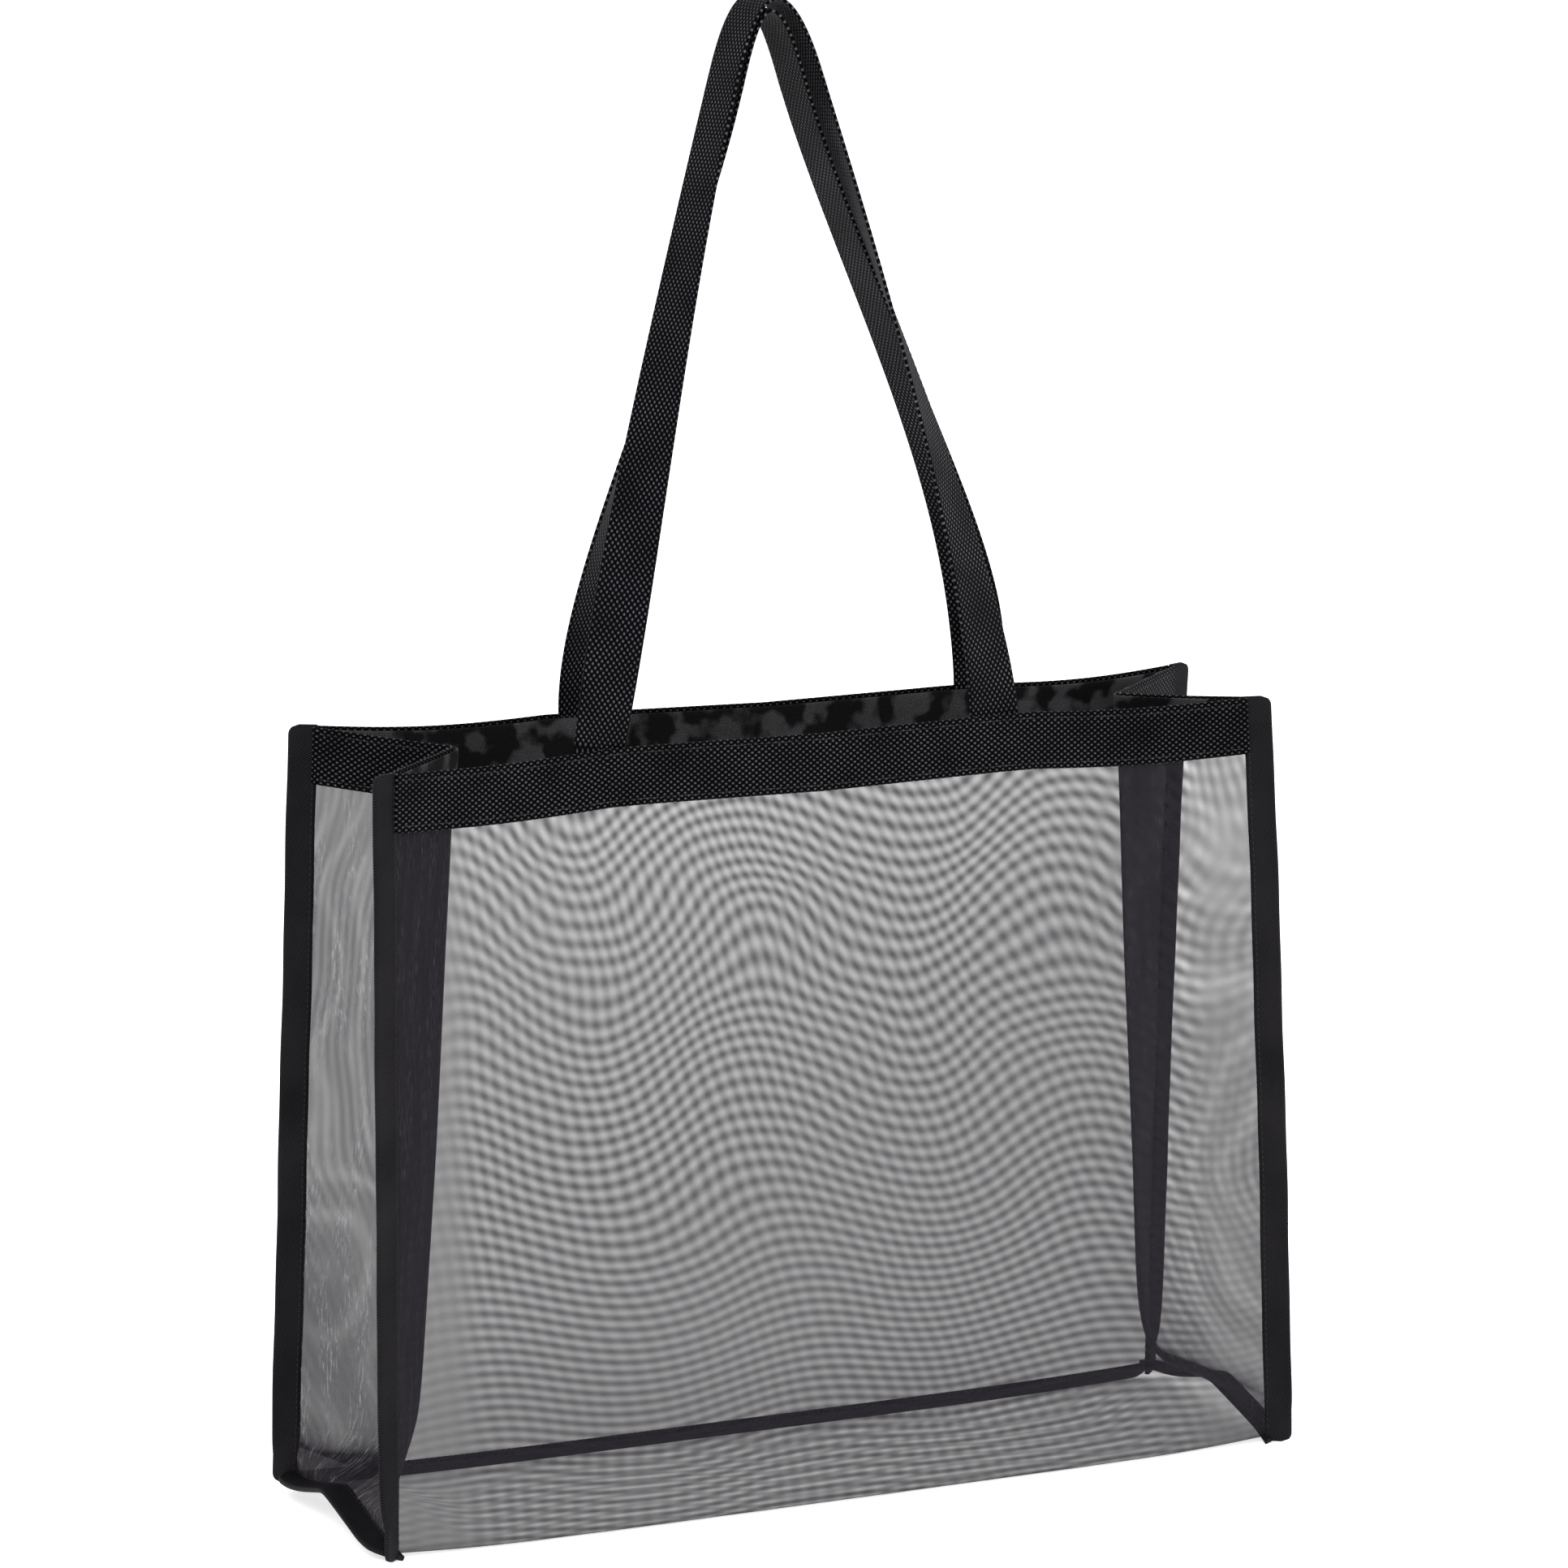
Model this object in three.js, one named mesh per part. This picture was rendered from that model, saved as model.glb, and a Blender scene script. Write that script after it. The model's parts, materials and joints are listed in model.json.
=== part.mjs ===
// A see-through mesh beach tote. Two deep sides fold inward as gussets, the seams are bound
// with tape, the mouth is banded with webbing, and two webbing handles fold down outward.
// Millimetres, +X to the bag's right, +Y to its back, +Z up.
// The origin is on the ground below the middle of the bag.
import * as THREE from 'three';
import { mergeVertices } from 'three/addons/utils/BufferGeometryUtils.js';

// Driving dimensions of the bag body
const bagWidth = 458;
const bagHeight = 365;
const baseDepth = 121;
const mouthDepth = 92;
const mouthInset = 6;
const mouthBow = 12;
const gussetFoldAtBase = 36;
const foldRadius = 5;

// Slack of the cloth near the ground
const sideSeamRise = 17;
const sideSeamRiseReach = 70;
const gussetFoldStart = 10;
const frontBaseBulge = 6;
const backBaseTuck = 9;
const baseSlackHeight = 60;

// Cloth, tape and webbing
const meshThickness = 1;
const facingThickness = 1;
const webbingWidth = 25.4;
const webbingThickness = 1.6;
const bandHeight = 27;
const facingHeight = 30;
const bindingWidth = 11;
const bindingThickness = 2.4;
const baseBindingDroop = THREE.MathUtils.degToRad(42);

// Gaps between pieces that touch on the real bag
const layerGap = 0.4;
const panelSeamGap = 1;
const gussetSeamGap = 3.2;
const bindingSeamGap = 1.2;
const bindingEndGap = 3;
const bandEndGap = 2;
const wallFacingClearance = 1.1;
const gussetFacingEndGap = 7;

// Handles
const handleSpread = 205.6;
const handleRise = 336;
const crestShift = -17;
const crestHalfWidth = 21;
const crestDrop = 32;
const crestTwist = THREE.MathUtils.degToRad(5);
const nestGap = 5.6;

// Where each handle is sewn on, how far its legs lean in, how late they turn flat to the band
// and how far to the right each leg sets off from its foot
const frontHandle = {
  shift: -11,
  lean: { left: 0.31, right: 0.34 },
  twistEase: { left: 2, right: 1.4 },
  footPush: { left: 15.5, right: -4.5 },
};
const backHandle = {
  shift: 8.8,
  lean: { left: 0.18, right: 0.36 },
  twistEase: { left: 2, right: 4 },
  footPush: { left: -9.5, right: 4 },
};
const hingeGap = 0.5;

const nestOffset = webbingThickness + nestGap;
const gussetHalfWidth = Math.hypot(baseDepth / 2, gussetFoldAtBase);
const backSeamHeight = (bindingSeamGap + bindingWidth) * Math.sin(baseBindingDroop)
  + (bindingThickness / 2) * Math.cos(baseBindingDroop);
const groundHeight = meshThickness / 2;

// Distances of the other layers from the middle of the mesh wall
const bandOffset = (meshThickness + webbingThickness) / 2 + layerGap;
const tailOffset = bandOffset;
const wallFacingOffset = tailOffset + layerGap + (webbingThickness + facingThickness) / 2;
const gussetFacingOffset = layerGap + (meshThickness + facingThickness) / 2;

// The wall facings stop where the gusset facings start to stand clear of them: the corner
// between wall and gusset at the mouth is a wedge, narrowed by the bow of the wall
const gussetFoldAtMouth = Math.sqrt(gussetHalfWidth ** 2 - (mouthDepth / 2) ** 2);
const mouthBowAngle = Math.atan(4 * mouthBow / (bagWidth / 2 - mouthInset));
const mouthCornerAngle = Math.atan2(mouthDepth / 2, gussetFoldAtMouth) - mouthBowAngle;
const wallFacingFace = wallFacingOffset + facingThickness / 2;
const gussetFacingFace = gussetFacingOffset + facingThickness / 2;
const facingMeeting = (gussetFacingFace + wallFacingFace * Math.cos(mouthCornerAngle))
  / Math.sin(mouthCornerAngle);
const wallFacingEndGap = facingMeeting + wallFacingClearance;

const meshMaterial = new THREE.MeshStandardMaterial({ color: '#3a3a3e', roughness: 0.75, metalness: 0 });
const facingMaterial = new THREE.MeshStandardMaterial({ color: '#26262a', roughness: 0.85, metalness: 0 });
const webbingMaterial = new THREE.MeshStandardMaterial({ color: '#17171a', roughness: 0.6, metalness: 0 });
const bindingMaterial = new THREE.MeshStandardMaterial({ color: '#1d1d20', roughness: 0.7, metalness: 0 });

// --- The bag's shape ---------------------------------------------------------------------

function halfWidthAt(z) {
  return bagWidth / 2 - mouthInset * z / bagHeight;
}

function halfDepthAt(z) {
  return THREE.MathUtils.lerp(baseDepth, mouthDepth, z / bagHeight) / 2;
}

// 1 in the middle of the bag's width and 0 at its corners
function awayFromCorners(x, z) {
  return 1 - Math.min(1, Math.abs(x) / halfWidthAt(z)) ** 4;
}

// Distance of the front (side -1) or back (side +1) wall from the middle plane
function wallDistance(side, x, z) {
  const baseBow = side < 0 ? frontBaseBulge : -backBaseTuck;
  const bow = baseBow * Math.exp(-z / baseSlackHeight) - mouthBow * (z / bagHeight) ** 3;
  return halfDepthAt(z) + bow * awayFromCorners(x, z);
}

function wallMiddle(side, x, z) {
  return new THREE.Vector3(x, side * wallDistance(side, x, z), z);
}

// A point of the front or back wall, moved off the cloth into the bag, square to the cloth
function wallPoint(side, x, z, inward) {
  const along = wallMiddle(side, x + 1, z).sub(wallMiddle(side, x - 1, z));
  const upward = wallMiddle(side, x, z + 1).sub(wallMiddle(side, x, z - 1));
  const intoBag = along.cross(upward).normalize().multiplyScalar(side);
  return wallMiddle(side, x, z).addScaledVector(intoBag, inward);
}

// Height of the bottom cloth: flat on the ground, raised at its back seam and at both sides
function bottomHeight(x, y) {
  const sideRun = (Math.abs(x) - (bagWidth / 2 - sideSeamRiseReach)) / sideSeamRiseReach;
  const toSide = THREE.MathUtils.smoothstep(sideRun, 0, 1);
  const fromMiddle = Math.min(1, Math.abs(y) / halfDepthAt(0));
  const backRun = THREE.MathUtils.clamp(y / halfDepthAt(0), 0, 1);
  const backRise = (backSeamHeight - groundHeight) * backRun ** 3;
  return groundHeight + sideSeamRise * toSide * (1 - fromMiddle) + backRise;
}

// How far the gusset is folded in at its middle
function gussetFoldAt(z) {
  const fold = Math.sqrt(gussetHalfWidth ** 2 - halfDepthAt(z) ** 2);
  const seamTop = bottomHeight(bagWidth / 2, 0);
  return fold * (1 - Math.exp(-Math.max(0, z - seamTop) / gussetFoldStart));
}

// A point on a gusset (side -1 left, +1 right); across runs from -1 at the front seam to +1
// at the back seam, and outward moves it off the cloth into the fold
function gussetPoint(side, across, z, outward) {
  const depth = halfDepthAt(z);
  const fold = gussetFoldAt(z);
  const run = Math.hypot(depth, fold);
  const x = halfWidthAt(z) - fold * (1 - Math.abs(across));
  if (across === 0) {
    return new THREE.Vector3(side * (x + outward * run / depth), 0, z);
  }
  const along = -Math.sign(across) * outward * fold / run;
  return new THREE.Vector3(side * (x + outward * depth / run), across * depth + along, z);
}

// --- Solids ------------------------------------------------------------------------------

// A closed sheet of even thickness: place(i, j) gives the middle of the cloth at each knot
function sheetSolid(columns, rows, thickness, place) {
  const grid = [];
  for (let i = 0; i <= columns; i += 1) {
    grid.push(Array.from({ length: rows + 1 }, (_, j) => place(i, j)));
  }
  const geometry = new THREE.BoxGeometry(columns, rows, 1, columns, rows, 1);
  const position = geometry.attributes.position;
  for (let n = 0; n < position.count; n += 1) {
    const i = Math.round(position.getX(n) + columns / 2);
    const j = Math.round(position.getY(n) + rows / 2);
    const right = grid[Math.min(columns, i + 1)][j].clone().sub(grid[Math.max(0, i - 1)][j]);
    const up = grid[i][Math.min(rows, j + 1)].clone().sub(grid[i][Math.max(0, j - 1)]);
    const normal = right.cross(up).normalize();
    const point = grid[i][j].clone().addScaledVector(normal, position.getZ(n) * thickness);
    position.setXYZ(n, point.x, point.y, point.z);
  }
  geometry.deleteAttribute('normal');
  geometry.deleteAttribute('uv');
  const solid = mergeVertices(geometry, 1e-4);
  solid.computeVertexNormals();
  return solid;
}

// Knots run with `flip` from right to left, which keeps a mirrored sheet's faces outward
function knot(index, count, flip) {
  return flip ? 1 - index / count : index / count;
}

// --- Mesh panels -------------------------------------------------------------------------

const wallColumns = 16;
const bodyRows = 10;
const hemRows = 3;
const bottomRows = 7;
const foldRows = 3;
const gussetColumns = 8;
const panelTop = bagHeight - panelSeamGap;

// Height of a panel's knot row: body rows widen from the ground up, hem rows are even
function panelRowHeight(start, row) {
  const hemBottom = bagHeight - facingHeight;
  if (row <= bodyRows) {
    return THREE.MathUtils.lerp(start, hemBottom, (row / bodyRows) ** 1.4);
  }
  return THREE.MathUtils.lerp(hemBottom, panelTop, (row - bodyRows) / hemRows);
}

// One cloth runs from the back seam under the bag, round the front fold and up to the mouth
function frontBottomPanel() {
  const rows = bottomRows + foldRows + bodyRows + hemRows;
  return sheetSolid(wallColumns, rows, meshThickness, (i, j) => {
    const across = 2 * i / wallColumns - 1;
    const baseX = across * (halfWidthAt(0) - panelSeamGap);
    const front = -wallDistance(-1, baseX, foldRadius) + foldRadius;
    const back = wallDistance(1, baseX, backSeamHeight) - panelSeamGap;
    if (j <= bottomRows) {
      const y = THREE.MathUtils.lerp(back, front, j / bottomRows);
      return new THREE.Vector3(baseX, y, bottomHeight(baseX, y));
    }
    if (j <= bottomRows + foldRows) {
      const angle = (j - bottomRows) / foldRows * Math.PI / 2;
      const z = bottomHeight(baseX, front) + foldRadius * (1 - Math.cos(angle));
      return new THREE.Vector3(baseX, front - foldRadius * Math.sin(angle), z);
    }
    const start = bottomHeight(baseX, front) + foldRadius;
    const z = panelRowHeight(start, j - bottomRows - foldRows);
    return wallPoint(-1, across * (halfWidthAt(z) - panelSeamGap), z, 0);
  });
}

function backPanel() {
  const start = backSeamHeight + panelSeamGap + meshThickness / 2;
  return sheetSolid(wallColumns, bodyRows + hemRows, meshThickness, (i, j) => {
    const across = 2 * knot(i, wallColumns, true) - 1;
    const z = panelRowHeight(start, j);
    return wallPoint(1, across * (halfWidthAt(z) - panelSeamGap), z, 0);
  });
}

// Share of the gusset's half width that lies between its seam and its cut edge
function gussetReach(z, gap) {
  return 1 - gap / Math.hypot(halfDepthAt(z), gussetFoldAt(z));
}

function gussetPanel(side) {
  return sheetSolid(gussetColumns, bodyRows + hemRows, meshThickness, (i, j) => {
    const across = 2 * knot(i, gussetColumns, side < 0) - 1;
    const seam = bottomHeight(bagWidth / 2, across * halfDepthAt(0)) + panelSeamGap + meshThickness / 2;
    const z = panelRowHeight(seam, j);
    return gussetPoint(side, across * gussetReach(z, gussetSeamGap), z, 0);
  });
}

// --- Webbing band and facing round the mouth ----------------------------------------------

const mouthRows = 3;
const mouthStripColumns = 16;

function wallStrip(side, top, height, thickness, inward, endGap) {
  return sheetSolid(mouthStripColumns, mouthRows, thickness, (i, j) => {
    const across = 2 * knot(i, mouthStripColumns, side > 0) - 1;
    const z = top - height * (1 - j / mouthRows);
    return wallPoint(side, across * (halfWidthAt(z) - endGap), z, inward);
  });
}

function gussetStrip(side, top, height, thickness, outward, endGap) {
  return sheetSolid(gussetColumns, mouthRows, thickness, (i, j) => {
    const across = 2 * knot(i, gussetColumns, side < 0) - 1;
    const z = top - height * (1 - j / mouthRows);
    return gussetPoint(side, across * gussetReach(z, endGap), z, outward);
  });
}

// --- Seam bindings -----------------------------------------------------------------------

const uprightBindingRows = 14;
const baseBindingColumns = 12;

// Direction in which the bound seam allowance stands off a corner, between its two panels
function finDirection(sideX, sideY, z) {
  const toGusset = new THREE.Vector2(-sideX * gussetFoldAt(z), -sideY * halfDepthAt(z)).normalize();
  return toGusset.add(new THREE.Vector2(-sideX, 0)).normalize().negate();
}

function uprightBinding(sideX, sideY) {
  const flip = sideX * sideY > 0;
  const start = (sideY < 0 ? groundHeight : backSeamHeight) + bindingThickness / 2 + layerGap;
  return sheetSolid(1, uprightBindingRows, bindingThickness, (i, j) => {
    const z = THREE.MathUtils.lerp(start, bagHeight, j / uprightBindingRows);
    const out = bindingSeamGap + bindingWidth * knot(i, 1, flip);
    const direction = finDirection(sideX, sideY, z);
    const x = sideX * halfWidthAt(z) + direction.x * out;
    return new THREE.Vector3(x, sideY * halfDepthAt(z) + direction.y * out, z);
  });
}

function sideBaseBinding(side) {
  const reach = halfDepthAt(0) - bindingEndGap;
  return sheetSolid(baseBindingColumns, 1, bindingThickness, (i, j) => {
    const y = reach * (2 * i / baseBindingColumns - 1);
    const out = bindingSeamGap + bindingWidth * knot(j, 1, side > 0);
    const z = bottomHeight(bagWidth / 2, y) + (bindingThickness - meshThickness) / 2;
    return new THREE.Vector3(side * (bagWidth / 2 + out), y, z);
  });
}

function backBaseBinding() {
  const reach = bagWidth / 2 - bindingEndGap;
  return sheetSolid(baseBindingColumns, 1, bindingThickness, (i, j) => {
    const x = reach * (1 - 2 * i / baseBindingColumns);
    const out = bindingSeamGap + bindingWidth * (1 - j);
    const y = wallDistance(1, x, backSeamHeight) + out * Math.cos(baseBindingDroop);
    return new THREE.Vector3(x, y, backSeamHeight - out * Math.sin(baseBindingDroop));
  });
}

// --- Handles -----------------------------------------------------------------------------

const handleSteps = 56;
const tailColumns = 4;

function handleOn(side) {
  return side < 0 ? frontHandle : backHandle;
}

function tailBottom() {
  return bagHeight - bandHeight + layerGap;
}

// The sewn end of a handle, inside the hem between the mesh and the facing
function handleEnd(side, leg) {
  const middle = handleOn(side).shift + leg * handleSpread / 2;
  return sheetSolid(tailColumns, mouthRows, webbingThickness, (i, j) => {
    const x = middle + webbingWidth * (knot(i, tailColumns, side > 0) - 0.5);
    const z = THREE.MathUtils.lerp(tailBottom(), bagHeight - layerGap, j / mouthRows);
    return wallPoint(side, x, z, tailOffset);
  });
}

// The free loop's middle line: two legs that lean together and an arch over the top. The
// front handle's arch lies over the back handle's with nestGap between them.
function handlePath(side) {
  const { shift, lean, footPush } = handleOn(side);
  const nest = side < 0 ? 0 : nestOffset;
  const bottom = bagHeight + hingeGap;
  const crestTop = bagHeight + handleRise - nest;
  const archFoot = crestTop - crestDrop;
  const legRise = archFoot - bottom;
  const halfWidth = crestHalfWidth - nest;
  const leftX = shift - handleSpread / 2;
  const rightX = shift + handleSpread / 2;
  const archLeft = crestShift - halfWidth;
  const archRight = crestShift + halfWidth;
  const leanAt = (x, z) => {
    const footX = x < crestShift ? leftX : rightX;
    const footY = side * (wallDistance(side, footX, bagHeight) - tailOffset);
    return new THREE.Vector3(x, footY * (crestTop - z) / (crestTop - bottom), z);
  };
  // Each leg stands up from its foot, then runs straight in to the arch
  const leg = (footX, push, archX, slope) => [
    leanAt(footX, bottom),
    leanAt(footX + push, bottom + legRise * 0.25),
    leanAt(archX + slope * legRise * 0.3, bottom + legRise * 0.7),
    leanAt(archX, archFoot),
  ];
  const archRise = crestDrop * 4 / 3;
  const archLeftControl = leanAt(archLeft + lean.left * archRise, archFoot + archRise);
  const archRightControl = leanAt(archRight - lean.right * archRise, archFoot + archRise);
  const leftLeg = leg(leftX, footPush.left, archLeft, -lean.left);
  const rightLeg = leg(rightX, footPush.right, archRight, lean.right).reverse();
  const path = new THREE.CurvePath();
  path.add(new THREE.CubicBezierCurve3(...leftLeg));
  path.add(new THREE.CubicBezierCurve3(
    leanAt(archLeft, archFoot), archLeftControl, archRightControl, leanAt(archRight, archFoot)));
  path.add(new THREE.CubicBezierCurve3(...rightLeg));
  return path;
}

// The strap lies flat on the band at its feet and turns to lie across the bag at the crest
function handleLoop(side) {
  const { twistEase } = handleOn(side);
  const path = handlePath(side);
  const points = path.getSpacedPoints(handleSteps);
  const top = Math.max(...points.map((point) => point.z));
  const crestIndex = points.findIndex((point) => point.z === top);
  const bottom = bagHeight + hingeGap;
  return sheetSolid(handleSteps, 1, webbingThickness, (i, j) => {
    const tangent = points[Math.min(handleSteps, i + 1)].clone().sub(points[Math.max(0, i - 1)]).normalize();
    if (i === 0 || i === handleSteps) {
      tangent.set(0, 0, i === 0 ? 1 : -1);
    }
    const height = (points[i].z - bottom) / (top - bottom);
    const onLeft = i < crestIndex;
    const footTwist = side * (onLeft ? -1 : 1) * Math.PI / 2;
    const ease = onLeft ? twistEase.left : twistEase.right;
    const twist = crestTwist + (footTwist - crestTwist) * (1 - height) ** ease;
    const across = new THREE.Vector3(-Math.sin(twist), Math.cos(twist), 0);
    across.addScaledVector(tangent, -across.dot(tangent)).normalize();
    return points[i].clone().addScaledVector(across, webbingWidth * (j - 0.5));
  });
}

// --- Assembly ----------------------------------------------------------------------------

const bag = new THREE.Group();

function addPiece(name, geometry, material) {
  const piece = new THREE.Mesh(geometry, material);
  piece.name = name;
  bag.add(piece);
}

const walls = [{ name: 'front', side: -1 }, { name: 'back', side: 1 }];
const sides = [{ name: 'left', side: -1 }, { name: 'right', side: 1 }];

addPiece('front_bottom_panel', frontBottomPanel(), meshMaterial);
addPiece('back_panel', backPanel(), meshMaterial);
for (const { name, side } of sides) {
  addPiece(`${name}_gusset`, gussetPanel(side), meshMaterial);
}

for (const { name, side } of walls) {
  const band = wallStrip(side, bagHeight, bandHeight, webbingThickness, -bandOffset, bandEndGap);
  const facing = wallStrip(
    side, panelTop, facingHeight, facingThickness, wallFacingOffset, wallFacingEndGap);
  addPiece(`${name}_band`, band, webbingMaterial);
  addPiece(`${name}_facing`, facing, facingMaterial);
}
for (const { name, side } of sides) {
  const band = gussetStrip(side, bagHeight, bandHeight, webbingThickness, bandOffset, bandEndGap);
  const facing = gussetStrip(
    side, panelTop, facingHeight, facingThickness, -gussetFacingOffset, gussetFacingEndGap);
  addPiece(`${name}_band`, band, webbingMaterial);
  addPiece(`${name}_facing`, facing, facingMaterial);
}

for (const wall of walls) {
  for (const flank of sides) {
    addPiece(`${wall.name}_${flank.name}_binding`, uprightBinding(flank.side, wall.side), bindingMaterial);
  }
}
for (const { name, side } of sides) {
  addPiece(`${name}_base_binding`, sideBaseBinding(side), bindingMaterial);
}
addPiece('back_base_binding', backBaseBinding(), bindingMaterial);

for (const wall of walls) {
  addPiece(`${wall.name}_handle`, handleLoop(wall.side), webbingMaterial);
  for (const flank of sides) {
    const end = handleEnd(wall.side, flank.side);
    addPiece(`${wall.name}_handle_${flank.name}_end`, end, webbingMaterial);
  }
}

export default bag;
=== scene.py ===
import json
import math

import bpy
import numpy as np
from mathutils import Matrix, Vector


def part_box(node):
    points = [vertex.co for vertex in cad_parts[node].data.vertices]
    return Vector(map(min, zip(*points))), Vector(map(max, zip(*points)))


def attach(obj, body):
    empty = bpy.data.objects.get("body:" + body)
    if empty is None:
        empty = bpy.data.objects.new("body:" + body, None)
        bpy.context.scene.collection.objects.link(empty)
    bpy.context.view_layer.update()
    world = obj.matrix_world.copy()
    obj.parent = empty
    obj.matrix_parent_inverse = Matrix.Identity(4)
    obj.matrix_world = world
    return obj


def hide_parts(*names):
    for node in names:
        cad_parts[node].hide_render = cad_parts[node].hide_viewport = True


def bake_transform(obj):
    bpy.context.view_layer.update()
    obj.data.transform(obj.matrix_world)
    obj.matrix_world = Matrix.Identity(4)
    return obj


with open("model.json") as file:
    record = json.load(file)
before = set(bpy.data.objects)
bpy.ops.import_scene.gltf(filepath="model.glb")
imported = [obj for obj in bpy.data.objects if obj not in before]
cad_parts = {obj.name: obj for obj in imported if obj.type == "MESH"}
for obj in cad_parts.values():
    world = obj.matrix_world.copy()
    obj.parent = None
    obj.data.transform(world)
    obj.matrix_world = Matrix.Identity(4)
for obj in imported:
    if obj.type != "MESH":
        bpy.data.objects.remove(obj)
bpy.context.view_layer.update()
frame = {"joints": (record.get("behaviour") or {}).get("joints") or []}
MM = 0.001

# --- Sizes taken from the frame ------------------------------------------------------------


def corner(node, high, axis):
    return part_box(node)[1 if high else 0][axis] / MM


CLOTH = 1.0
MOUTH_Z = corner("front_band", True, 2)
BASE_HALF_WIDTH = corner("right_gusset", True, 0) - CLOTH / 2
MOUTH_HALF_WIDTH = BASE_HALF_WIDTH - 6
BASE_HALF_DEPTH = 60.5
MOUTH_HALF_DEPTH = 46.0
MOUTH_BOW = 12.0
FRONT_BULGE = 6.0
BACK_TUCK = 9.0
SLACK_HEIGHT = 60.0
FOLD_RADIUS = 5.0
FOLD_START = 10.0
GUSSET_FOLD_AT_BASE = 36.0
SIDE_RISE = 17.0
SIDE_RISE_REACH = 70.0
GROUND = CLOTH / 2
BACK_SEAM = corner("back_base_binding", True, 2) - 0.6
GUSSET_HALF = math.hypot(BASE_HALF_DEPTH, GUSSET_FOLD_AT_BASE)

WEBBING_WIDTH = 25.4
WEBBING_THICKNESS = 1.6
BAND_HEIGHT = 27.0
FACING_HEIGHT = 26.0
BINDING_WIDTH = 13.6
BINDING_INSET = 1.8
BINDING_THICKNESS = 2.4
HANDLE_TOP = corner("front_handle", True, 2) - WEBBING_THICKNESS / 2
JOINTS = {joint["name"]: joint for joint in frame["joints"]}
HINGE_Z = JOINTS["front_handle_fold"]["pos_m"][2] / MM

# --- Shape of the bag ----------------------------------------------------------------------


def smooth(t):
    t = np.clip(t, 0, 1)
    return t * t * (3 - 2 * t)


def half_width(z):
    return BASE_HALF_WIDTH + (MOUTH_HALF_WIDTH - BASE_HALF_WIDTH) * z / MOUTH_Z


def half_depth(z):
    return BASE_HALF_DEPTH + (MOUTH_HALF_DEPTH - BASE_HALF_DEPTH) * z / MOUTH_Z


def away_from_corners(x, z):
    return 1 - np.minimum(1, np.abs(x) / half_width(z)) ** 4


def ripple(x, z, seed):
    """Shallow drape of loose net, in mm, nought at the seams."""
    wave = np.sin(x / 31 + seed + 0.8 * np.sin(z / 60 + seed)) * np.sin(z / 95 + 2 * seed)
    slow = np.sin(x / 74 + 1.7 * seed) * np.cos(z / 130 - seed)
    return (0.5 * wave + 1.1 * slow) * away_from_corners(x, z)


def wall_distance(side, x, z):
    base_bow = FRONT_BULGE if side < 0 else -BACK_TUCK
    bow = base_bow * np.exp(-z / SLACK_HEIGHT) - MOUTH_BOW * (z / MOUTH_Z) ** 3
    below_hem = smooth((MOUTH_Z - BAND_HEIGHT - z) / 60) * smooth(z / 40)
    return half_depth(z) + bow * away_from_corners(x, z) + ripple(x, z, side) * below_hem


def bottom_height(x, y):
    to_side = smooth((np.abs(x) - (BASE_HALF_WIDTH - SIDE_RISE_REACH)) / SIDE_RISE_REACH)
    from_middle = np.minimum(1, np.abs(y) / BASE_HALF_DEPTH)
    back_run = np.clip(y / BASE_HALF_DEPTH, 0, 1)
    return GROUND + SIDE_RISE * to_side * (1 - from_middle) + (BACK_SEAM - GROUND) * back_run**3


def gusset_fold(z):
    fold = np.sqrt(GUSSET_HALF**2 - half_depth(z) ** 2)
    seam_top = bottom_height(BASE_HALF_WIDTH, 0)
    return fold * (1 - np.exp(-np.maximum(0, z - seam_top) / FOLD_START))


def gusset_points(side, across, z, outward=0.0):
    """Points of a gusset: across runs from -1 at its front seam to 1 at its back seam."""
    crease = np.sqrt(across**2 + 0.05**2)
    fold = gusset_fold(z)
    depth = half_depth(z)
    sag = 2.2 * np.sin(z / 27 + 2.0 * side) * np.sin(math.pi * np.abs(across)) * smooth(z / 60)
    sag = sag * smooth((MOUTH_Z - BAND_HEIGHT - z) / 50)
    x = half_width(z) - fold * (1 - crease) + sag
    run = np.hypot(depth, fold)
    lean = np.tanh(across / 0.08)
    x = x + outward * depth / run
    y = across * depth - outward * lean * fold / run
    return np.stack([side * x, y, z + 0 * x], -1)


# how much higher the mouth's (left, right) corners stand, and how far the right ones move in x
FRONT_CORNER_LIFT = (-2.7, -0.5)
BACK_CORNER_LIFT = (3.9, -0.8)
FRONT_RIGHT_SHIFT = -5.2
BACK_RIGHT_SHIFT = 5.2


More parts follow.
